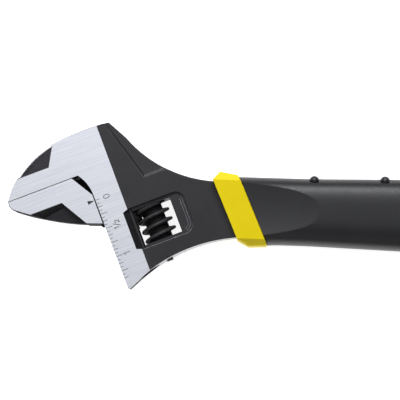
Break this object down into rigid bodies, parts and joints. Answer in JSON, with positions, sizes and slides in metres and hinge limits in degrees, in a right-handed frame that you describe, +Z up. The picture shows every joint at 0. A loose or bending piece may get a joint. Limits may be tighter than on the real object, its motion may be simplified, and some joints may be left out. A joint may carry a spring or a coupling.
{
  "type": "adjustable wrench",
  "caption": "Adjustable wrench with angled head, sliding lower jaw driven by a worm knurl in a window, inch scale, yellow collar and black cushion grip.",
  "frame": {"origin": "centre of the bounding box at the surface the wrench lies on; Y = 0 is the handle's centreline", "axes": "+X down the handle, away from the jaws; +Z up from the surface, square to the tool's flat faces; +Y towards the fixed jaw's side"},
  "size_m": [0.254, 0.0701, 0.02],
  "materials": {
    "black_forging": "satin black over forged steel, with ground bright faces on the head",
    "ground_steel": "ground along the jaw, satin",
    "black_knurl": "black oxide, slightly oily",
    "pin_steel": "dark satin",
    "spring_steel": "bright drawn wire",
    "yellow_plastic": "semi-gloss moulded",
    "black_cushion": "fine matt moulded texture"
  },
  "bodies": {
    "frame_body": {"body": "black_forging", "knurl_pin": "pin_steel", "knurl_spring": "spring_steel", "grip_core": "yellow_plastic", "grip_cushion": "black_cushion"},
    "jaw_body": {"movable_jaw": "ground_steel"},
    "knurl_body": {"knurl": "black_knurl"}
  },
  "joints": [
    {"name": "jaw_slide", "type": "slide", "parent": "frame_body", "child": "jaw_body", "axis": [0.3827, -0.9239, 0], "range_m": [0, 0.032]},
    {"name": "knurl_spin", "type": "hinge", "parent": "frame_body", "child": "knurl_body", "pos_m": [-0.0644, -0.00629, 0.01], "axis": [-0.3827, 0.9239, 0], "range_deg": [0, 2812]}
  ],
  "couplings": [
    {"joint": "knurl_spin", "follows": "jaw_slide", "rad_per_m": 1532.5}
  ]
}
